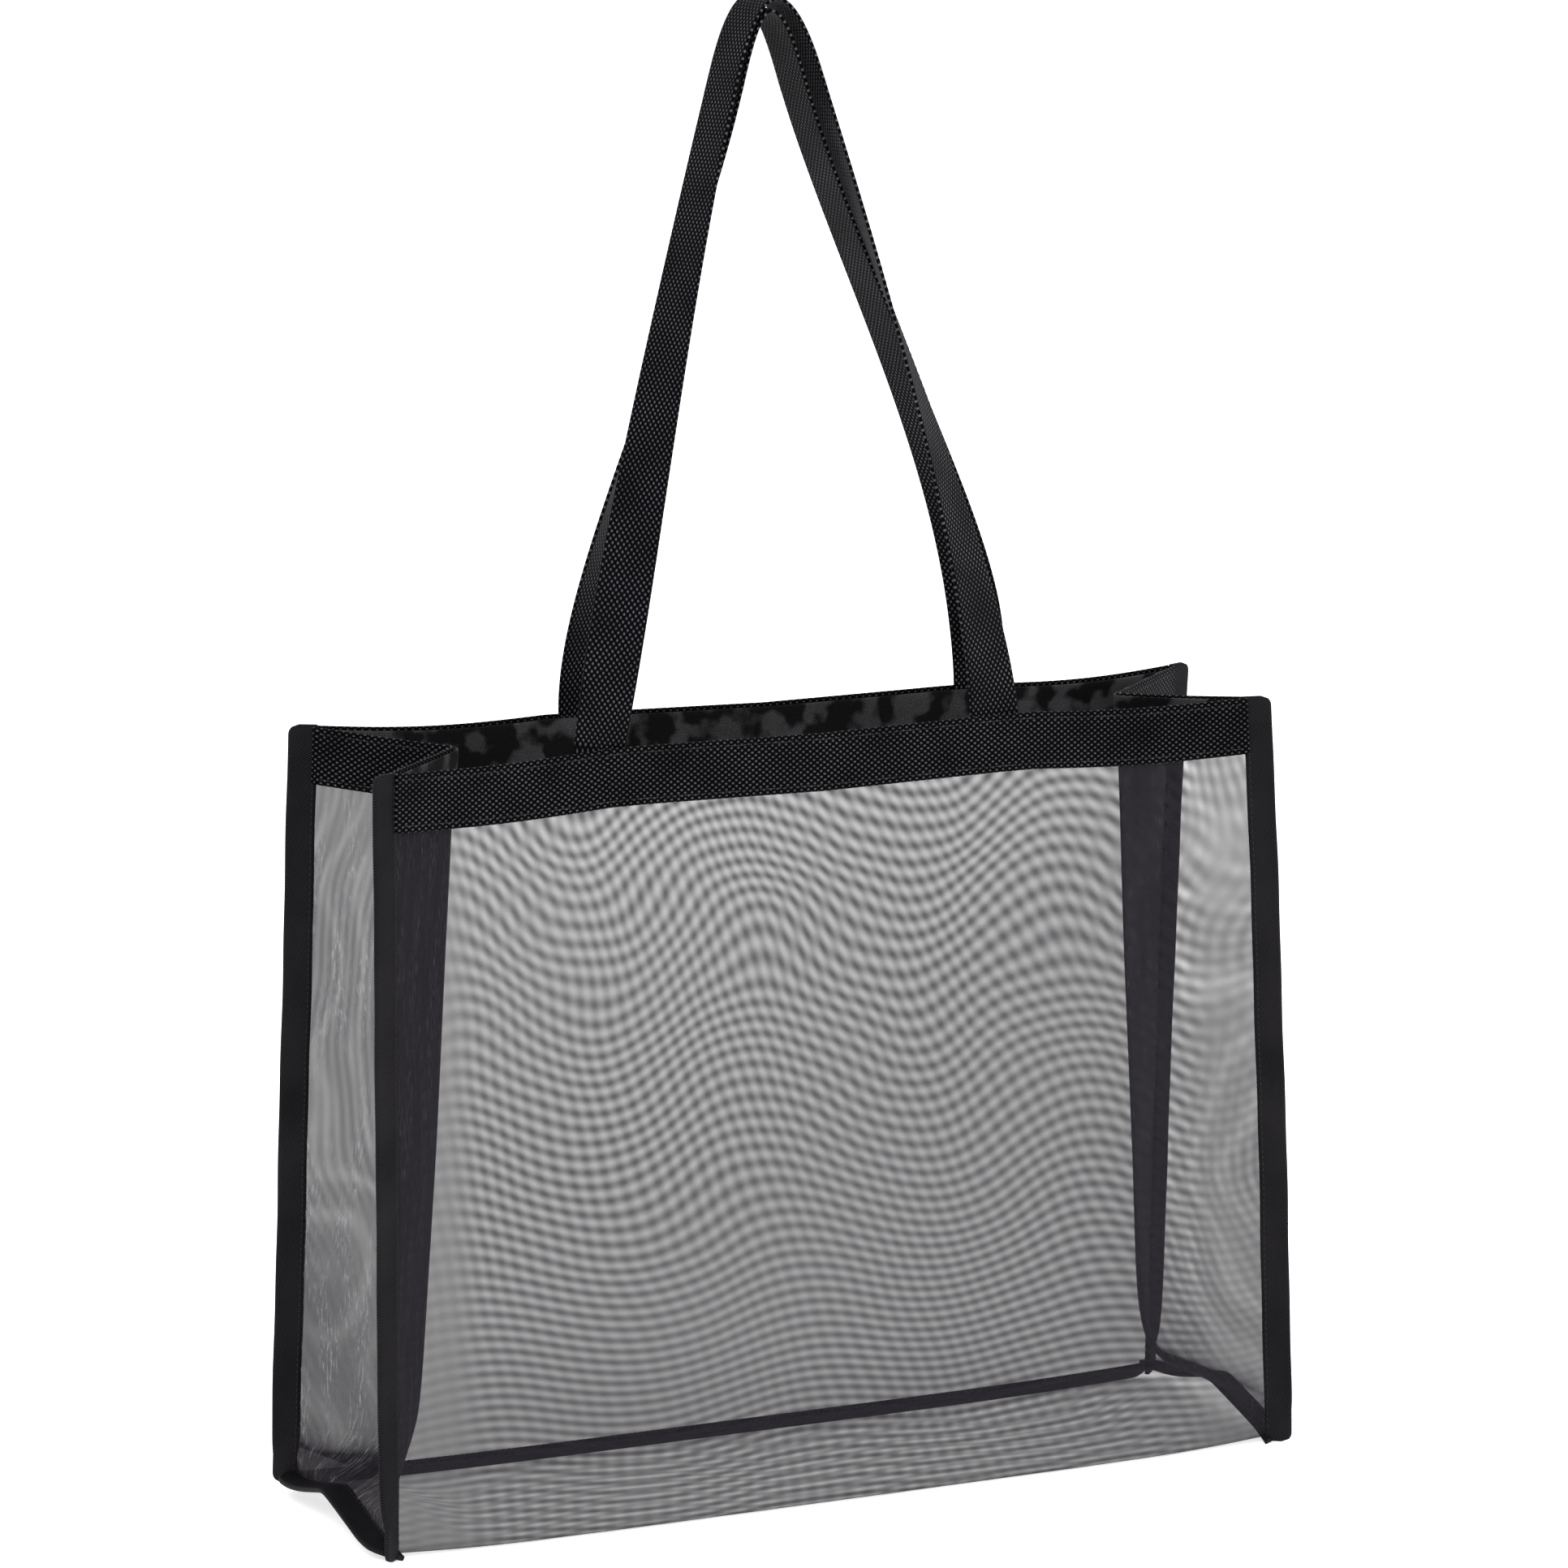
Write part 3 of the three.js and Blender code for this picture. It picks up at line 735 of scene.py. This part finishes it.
def mouth_pieces():
    for line_maker, sides, facing_in, facing_length in HEMS:
        for side, name in sides:
            band = mouth_strip(
                f"{name}_webbing_band", line_maker, side, MOUTH_Z - BAND_HEIGHT / 2,
                BAND_HEIGHT, WEBBING_THICKNESS, BAND_OUT, BAND_END_GAP, True)
            make_piece(band, BAND, replaces=[f"{name}_band"])
            facing = mouth_strip(
                f"{name}_hem_facing", line_maker, side, MOUTH_Z - FACING_DROP - FACING_HEIGHT / 2,
                FACING_HEIGHT, FACING_THICKNESS, -facing_in, FACING_END_GAP, False)
            make_piece(facing, FACING, replaces=[f"{name}_facing"])
            surface = BAND_OUT + WEBBING_THICKNESS / 2 + 0.05
            upper = MOUTH_Z - HEM_STITCH_INSET
            lower = MOUTH_Z - BAND_HEIGHT + HEM_STITCH_INSET
            for tag, height in (("upper", upper), ("lower", lower)):
                line, _, out = line_maker(side, height, surface, HEM_STITCH_END_GAP, 3.0)
                row = stitches(f"{name}_{tag}_hem_stitches", line, out)
                make_piece(row, THREAD)


# --- Seam bindings -----------------------------------------------------------------------------


def fin_direction(side_x, side_y, z):
    """Which way a bound corner seam sticks out: away from the middle of its two cloths."""
    to_gusset = np.stack([-side_x * gusset_fold(z), -side_y * half_depth(z)], -1)
    both = unit(to_gusset) + np.array([-side_x, 0.0])
    return -unit(both)


STITCH_MARGIN = 6.0
STITCH_EDGE_INSET = 1.8
UPRIGHT_NOSE = 4.5
SIDE_BASE_NOSE = 12.5
TAPE_TOP_OVERRUN = 0.6
BASE_END_INSET = 0.6
BASE_DROOP = math.radians(42)


def bound_seam(name, seam, across, nose):
    """Tape folded over a seam, with its two rows of stitches near the inner edge."""
    middle = settle(seam + across * (BINDING_WIDTH / 2 - BINDING_INSET))
    tape = strap(
        f"{name}_tape", middle, across, BINDING_WIDTH, BINDING_THICKNESS, 10, edge=1.1, nose=nose)
    make_piece(tape, BINDING, replaces=[name])
    normal = unit(np.cross(unit(np.gradient(middle, axis=0)), across))
    for tag, face in (("a", 1), ("b", -1)):
        inner = middle - across * (BINDING_WIDTH / 2 - STITCH_EDGE_INSET)
        line = inner + normal * face * (BINDING_THICKNESS / 2 + 0.02)
        length = run_lengths(line)
        kept = (length > STITCH_MARGIN) & (length < length[-1] - STITCH_MARGIN)
        row = stitches(f"{name}_stitches_{tag}", line[kept], (normal * face)[kept])
        make_piece(row, THREAD)


def upright_bindings():
    for side_y, wall in WALLS:
        for side_x, flank in SIDES:
            name = f"{wall}_{flank}_binding"
            bottom = 1.3 if side_y < 0 else 4.0
            z = np.linspace(bottom, MOUTH_Z + TAPE_TOP_OVERRUN, 300)
            direction = fin_direction(side_x, side_y, z)
            # the tape waves a little where the thread pulls it
            sway = 0.16 * np.sin(z / 21 + 2 * side_x + side_y) + 0.1 * np.sin(z / 8.3 + side_y)
            seam = np.stack([side_x * half_width(z), side_y * half_depth(z)], -1) + direction * sway[:, None]
            across = np.concatenate([direction, 0.03 * np.sin(z / 33 + side_x)[:, None]], -1)
            bound_seam(name, np.concatenate([seam, z[:, None]], -1), unit(across), UPRIGHT_NOSE)


CORNER_TURN = 22.0


def side_base_bindings():
    """The tapes under the gussets turn into the upright tapes at both of their ends."""
    for side, name in SIDES:
        y = np.linspace(-BASE_HALF_DEPTH + BASE_END_INSET, BASE_HALF_DEPTH - BASE_END_INSET, 160)
        soft = np.sign(y) * (np.sqrt(y**2 + 16) - 4)
        lift = bottom_height(BASE_HALF_WIDTH, soft) + 0.9
        seam = np.stack([side * BASE_HALF_WIDTH + 0 * y, y, lift], -1)
        near_end = smooth((np.abs(y) - BASE_HALF_DEPTH + CORNER_TURN) / CORNER_TURN)[:, None]
        straight = np.tile([side * 0.997, 0, -0.07], (len(y), 1))
        ends = np.where(y < 0, -1, 1)
        fins = fin_direction(side, ends, 0 * y)
        turned = np.concatenate([fins, 0 * y[:, None]], -1)
        across = unit(straight * (1 - near_end) + turned * near_end)
        bound_seam(f"{name}_base_binding", seam, across, SIDE_BASE_NOSE)


def back_base_binding():
    x = np.linspace(-BASE_HALF_WIDTH + BASE_END_INSET, BASE_HALF_WIDTH - BASE_END_INSET, 300)
    seam = np.stack([x, wall_distance(1, x, BACK_SEAM + 0 * x), BACK_SEAM + 0 * x], -1)
    across = np.tile([0, math.cos(BASE_DROOP), -math.sin(BASE_DROOP)], (len(x), 1))
    bound_seam("back_base_binding", seam, across, UPRIGHT_NOSE)


# --- Handles -----------------------------------------------------------------------------------

# in the tables -1 is the front handle and 1 the back one; a pair holds its left and right leg
HANDLE_SPREAD = 205.6
HANDLE_SHIFT = {-1: -11.0, 1: 8.8}
CREST_SHIFT = -17.0
CREST_HALF_WIDTH = 21.0
CREST_DROP = 32.0
CREST_TWIST = math.radians(5)
TWIST_EASE = {-1: (2.0, 1.4), 1: (2.0, 4.0)}
LEG_LEAN = {-1: (0.31, 0.34), 1: (0.18, 0.36)}
FOOT_PUSH = {-1: (15.5, -4.5), 1: (-9.5, 4.0)}
NEST_OFFSET = 5.4
LOOP_BOTTOM = HINGE_Z
TAIL_IN = 1.7


def bezier(a, b, c, d, count):
    t = np.linspace(0, 1, count)[:, None]
    return (1 - t) ** 3 * a + 3 * t * (1 - t) ** 2 * b + 3 * t * t * (1 - t) * c + t**3 * d


def handle_line(side):
    """The middle of one handle, from its left sewn end over the crest to its right one."""
    nest = 0 if side < 0 else NEST_OFFSET
    top = HANDLE_TOP - nest
    foot = top - CREST_DROP
    rise = foot - LOOP_BOTTOM
    left = HANDLE_SHIFT[side] - HANDLE_SPREAD / 2
    right = HANDLE_SHIFT[side] + HANDLE_SPREAD / 2
    arch_left = CREST_SHIFT - CREST_HALF_WIDTH + nest
    arch_right = CREST_SHIFT + CREST_HALF_WIDTH - nest

    def lean(x, z):
        at = left if x < CREST_SHIFT else right
        foot_y = side * (wall_distance(side, at, MOUTH_Z) - TAIL_IN)
        return np.array([x, foot_y * (top - z) / (top - LOOP_BOTTOM), z])

    def leg(foot_x, push, arch_x, slope):
        return (
            lean(foot_x, LOOP_BOTTOM),
            lean(foot_x + push, LOOP_BOTTOM + rise * 0.25),
            lean(arch_x + slope * rise * 0.3, LOOP_BOTTOM + rise * 0.7),
            lean(arch_x, foot))

    arch_rise = CREST_DROP * 4 / 3
    arch = (
        lean(arch_left, foot),
        lean(arch_left + LEG_LEAN[side][0] * arch_rise, foot + arch_rise),
        lean(arch_right - LEG_LEAN[side][1] * arch_rise, foot + arch_rise),
        lean(arch_right, foot))
    left_leg = leg(left, FOOT_PUSH[side][0], arch_left, -LEG_LEAN[side][0])
    right_leg = leg(right, FOOT_PUSH[side][1], arch_right, LEG_LEAN[side][1])
    loop = np.concatenate([
        bezier(*left_leg, 200)[:-1], bezier(*arch, 80)[:-1], bezier(*right_leg[::-1], 200)])
    tails = []
    for x in (left, right):
        z = np.linspace(MOUTH_Z - BAND_HEIGHT + 2, LOOP_BOTTOM - 1, 20)
        y = side * (wall_distance(side, x, np.minimum(z, MOUTH_Z)) - TAIL_IN)
        tails.append(np.stack([x + 0 * z, y, z], -1))
    return np.concatenate([tails[0], loop, tails[1][::-1]])


def handle(side, name):
    line = handle_line(side)
    line = resample(line, BAND_STEP)[0]
    top = line[:, 2].max()
    height = np.clip((line[:, 2] - LOOP_BOTTOM) / (top - LOOP_BOTTOM), 0, 1)
    on_left = np.arange(len(line)) < line[:, 2].argmax()
    foot_twist = side * np.where(on_left, -1, 1) * math.pi / 2
    ease = np.where(on_left, *TWIST_EASE[side])
    twist = CREST_TWIST + (foot_twist - CREST_TWIST) * (1 - height) ** ease
    across = np.stack([-np.sin(twist), np.cos(twist), 0 * twist], -1)
    piece = strap(
        f"{name}_webbing_handle", settle(line), across, WEBBING_WIDTH, WEBBING_THICKNESS, 46, weave)
    piece.data.materials.append(STRAP)
    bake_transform(piece)
    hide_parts(f"{name}_handle", f"{name}_handle_left_end", f"{name}_handle_right_end")


# --- Build ---------------------------------------------------------------------------------------

front_bottom_net()
back_net()
for side, name in SIDES:
    gusset_net(side, name)
mouth_pieces()
upright_bindings()
side_base_bindings()
back_base_binding()
for side, name in WALLS:
    handle(side, name)

# --- Stage, light and camera ------------------------------------------------------------------------


FLOOR_HALF_SIZE = 6.0
FLOOR_GLOW = 0.55


def stage():
    size = FLOOR_HALF_SIZE
    corners = [(-size, -size, 0), (size, -size, 0), (size, size, 0), (-size, size, 0)]
    mesh = bpy.data.meshes.new("floor")
    mesh.from_pydata(corners, [], [(0, 1, 2, 3)])
    floor = bpy.data.objects.new("floor", mesh)
    bpy.context.scene.collection.objects.link(floor)
    s = Shader("floor")
    grain = s.noise(s.place(), 40.0, 3.0, 2.0)
    colour = s.blend_colour(grain, (0.95, 0.95, 0.95), (0.97, 0.97, 0.97))
    shader = s.surface(colour, 0.9, s.bump(grain, 0.0002, 0.1), specular=0.1)
    shader.inputs["Emission Color"].default_value = (1, 1, 1, 1)
    shader.inputs["Emission Strength"].default_value = FLOOR_GLOW
    floor.data.materials.append(s.material)


def area_light(name, place, target, size, power):
    data = bpy.data.lights.new(name, "AREA")
    data.shape = "RECTANGLE"
    data.size, data.size_y = size
    data.energy = power
    lamp = bpy.data.objects.new(name, data)
    lamp.location = place
    lamp.rotation_euler = (Vector(target) - Vector(place)).to_track_quat("-Z", "Y").to_euler()
    bpy.context.scene.collection.objects.link(lamp)


def lights():
    world = bpy.data.worlds.new("studio")
    bpy.context.scene.world = world
    world.use_nodes = True
    background = world.node_tree.nodes["Background"]
    background.inputs[0].default_value = (1, 1, 1, 1)
    background.inputs[1].default_value = 1.08
    area_light("key", (-1.6, -2.2, 2.2), (0, 0, 0.3), (1.6, 1.6), 40)
    area_light("fill", (2.6, -1.2, 1.2), (0, 0, 0.35), (1.2, 2.0), 40)
    area_light("top", (0.2, 0.4, 2.6), (0, 0, 0.3), (2.0, 1.2), 22)


CAMERA_AZIMUTH = math.radians(26.12)
CAMERA_ELEVATION = math.radians(11.04)
CAMERA_ROLL = math.radians(0.36)
CAMERA_TARGET = Vector((-0.0044, 0, 0.3325))
CAMERA_DISTANCE = 3.422
SENSOR_WIDTH = 36.0
# a long lens: its focal length is 4.66 times the picture's width
FOCAL_RATIO = 4.6583851


def camera():
    level = math.cos(CAMERA_ELEVATION)
    forward = Vector((
        math.sin(CAMERA_AZIMUTH) * level,
        math.cos(CAMERA_AZIMUTH) * level,
        -math.sin(CAMERA_ELEVATION)))
    right = Vector((math.cos(CAMERA_AZIMUTH), -math.sin(CAMERA_AZIMUTH), 0))
    up = right.cross(forward)
    turned_right = right * math.cos(CAMERA_ROLL) + up * math.sin(CAMERA_ROLL)
    turned_up = up * math.cos(CAMERA_ROLL) - right * math.sin(CAMERA_ROLL)
    data = bpy.data.cameras.new("camera")
    data.sensor_width = SENSOR_WIDTH
    data.lens = SENSOR_WIDTH * FOCAL_RATIO
    data.clip_end = 50
    eye = bpy.data.objects.new("camera", data)
    turn = Matrix((turned_right, turned_up, -forward)).transposed()
    eye.matrix_world = Matrix.Translation(CAMERA_TARGET - forward * CAMERA_DISTANCE) @ turn.to_4x4()
    bpy.context.scene.collection.objects.link(eye)
    bpy.context.scene.camera = eye


stage()
lights()
camera()
bpy.context.scene.view_settings.view_transform = "Standard"
